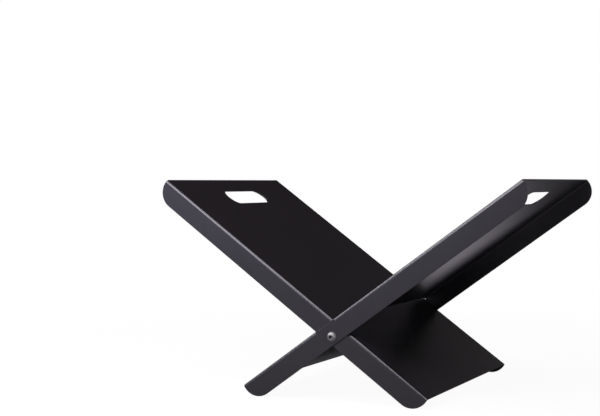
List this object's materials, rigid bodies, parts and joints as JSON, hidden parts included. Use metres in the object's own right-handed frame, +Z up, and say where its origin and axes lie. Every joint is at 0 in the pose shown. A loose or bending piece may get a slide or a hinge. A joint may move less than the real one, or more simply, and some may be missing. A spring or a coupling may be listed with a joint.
{
  "type": "log holder",
  "caption": "Free-standing log holder of folded black sheet-steel panels that cross in an X and turn on side screws, with a hand slot near each rim.",
  "frame": {"origin": "on the floor, straight below the pivot line, at mid depth", "axes": "+Z up; +Y along the pivot line, from the front screw to the rear screw; +X towards the rim of the outer panel"},
  "size_m": [0.5468, 0.3688, 0.3057],
  "materials": {
    "panel_coat": "satin black powder coat",
    "screw_steel": "plain stainless steel",
    "nut_steel": "bright zinc",
    "spacer_nylon": "matt black",
    "insert_nylon": "natural white"
  },
  "bodies": {
    "outer": {"outer_panel": "panel_coat", "front_screw": "screw_steel", "front_spacer": "spacer_nylon", "front_washer": "nut_steel", "front_lock_nut": "nut_steel", "front_nut_insert": "insert_nylon", "rear_screw": "screw_steel", "rear_spacer": "spacer_nylon", "rear_washer": "nut_steel", "rear_lock_nut": "nut_steel", "rear_nut_insert": "insert_nylon"},
    "inner": {"inner_panel": "panel_coat"}
  },
  "joints": [
    {"name": "cross_pivot", "type": "hinge", "parent": "outer", "child": "inner", "pos_m": [0, 0, 0.09005], "axis": [0, 1, 0], "range_deg": [0, 4]}
  ]
}
